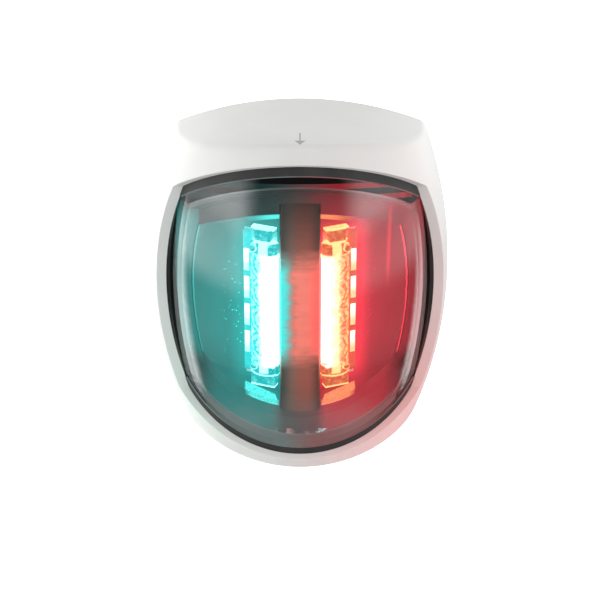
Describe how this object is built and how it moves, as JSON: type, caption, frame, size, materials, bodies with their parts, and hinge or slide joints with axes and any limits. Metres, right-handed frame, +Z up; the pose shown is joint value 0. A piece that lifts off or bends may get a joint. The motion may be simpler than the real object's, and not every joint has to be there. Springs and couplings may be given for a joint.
{
  "type": "navigation light",
  "caption": "Wall-mounted two-colour boat navigation light: white barrel housing, clear wrap-round lens, dark shade with green and red lit rods, wall bracket.",
  "frame": {"origin": "centre of the fixing holes on the wall face", "axes": "+Z up, +Y into the wall, the light looks along -Y, starboard (green) side at -X"},
  "size_m": [0.0718, 0.0355, 0.084],
  "materials": {
    "white_paint": "fine satin powder coat",
    "clear_lens": "clear polished polycarbonate",
    "black_rubber": "matt",
    "shade_plastic": "matt black moulding",
    "clear_acrylic": "clear polished acrylic",
    "strip_plastic": "white translucent moulding",
    "led_green": "lit green LED package",
    "led_red": "lit red LED package",
    "circuit_board": "solder-mask green",
    "bare_aluminium": "bent sheet",
    "can_aluminium": "drawn can",
    "ferrite": "dark ferrite",
    "chip_plastic": "epoxy",
    "pin_brass": "turned",
    "bracket_plastic": "glass-filled moulding",
    "cover_plastic": "black moulding",
    "washer_plastic": "nylon",
    "stainless": "machined stainless"
  },
  "bodies": {
    "bracket": {"wall_bracket": "bracket_plastic", "bracket_gasket": "black_rubber"},
    "lamp": {"housing": "white_paint", "lens": "clear_lens", "lens_gasket": "black_rubber", "shade_frame": "shade_plastic", "centre_divider": "shade_plastic", "light_rod_starboard": "clear_acrylic", "light_rod_port": "clear_acrylic", "window_strip_starboard": "strip_plastic", "window_strip_port": "strip_plastic", "leds_starboard": "led_green", "leds_port": "led_red", "led_board_starboard": "circuit_board", "led_board_port": "circuit_board", "heat_spreader": "bare_aluminium", "driver_board": "circuit_board", "driver_inductor": "ferrite", "driver_capacitors": "can_aluminium", "driver_chips": "chip_plastic", "jumper_pins": "pin_brass", "back_cover": "cover_plastic", "back_cover_seal": "black_rubber", "back_cover_screws": "stainless", "cable_gland": "black_rubber", "screw_insert": "pin_brass"},
    "washer": {"lock_washer": "washer_plastic"},
    "screw": {"lock_screw": "stainless"}
  },
  "joints": [
    {"name": "lamp_slide", "type": "slide", "parent": "bracket", "child": "lamp", "axis": [0, -1, 0], "range_m": [0, 0.03]},
    {"name": "lock_screw_advance", "type": "slide", "parent": "lamp", "child": "washer", "axis": [0, 0, -1], "range_m": [0, 0.0035]},
    {"name": "lock_screw_turn", "type": "hinge", "parent": "washer", "child": "screw", "pos_m": [0, -0.0062, -0.04], "axis": [0, 0, -1], "range_deg": [0, 1800]}
  ],
  "couplings": [
    {"joint": "lock_screw_turn", "follows": "lock_screw_advance", "rad_per_m": 8976}
  ]
}
